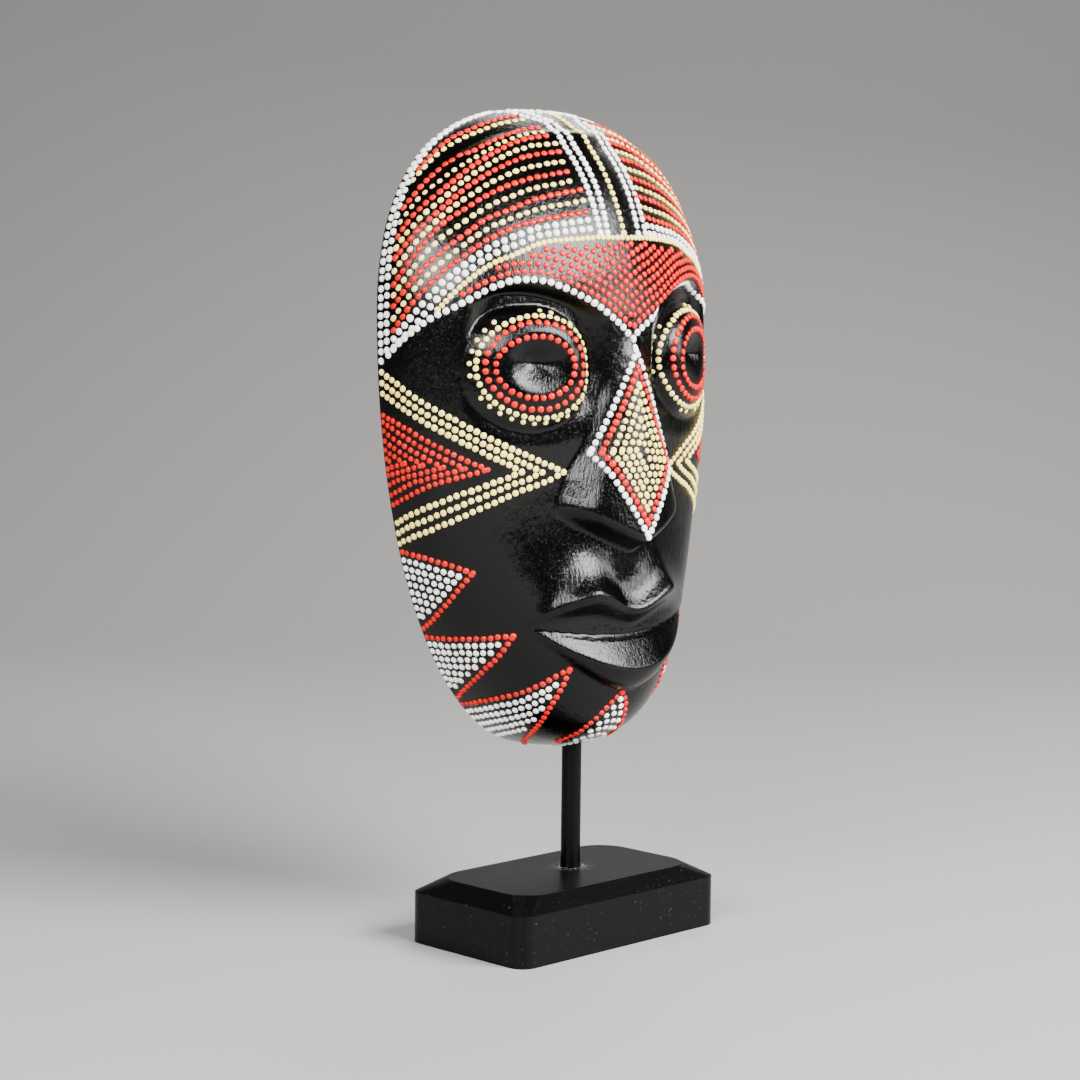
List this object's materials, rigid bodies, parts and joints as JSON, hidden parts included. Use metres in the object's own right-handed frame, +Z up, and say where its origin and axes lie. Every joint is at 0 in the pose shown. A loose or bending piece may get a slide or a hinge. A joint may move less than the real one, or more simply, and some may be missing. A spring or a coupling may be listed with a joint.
{
  "type": "wooden face mask on stand",
  "caption": "Carved and painted wooden face mask with a hollow back, held upright by a round rod on a rectangular block.",
  "frame": {"origin": "on the table, on the underside of the block, straight under the axis of the rod", "axes": "+Z up, the face looks along -Y, +X towards the mask's own left side"},
  "size_m": [0.1899, 0.0898, 0.388],
  "materials": {
    "mask_paint": "gloss black paint on carved wood with raised painted dots",
    "rod_paint": "satin black paint",
    "base_paint": "satin black paint on wood"
  },
  "bodies": {
    "root": {"mask": "mask_paint", "rod": "rod_paint", "base": "base_paint"}
  },
  "joints": []
}
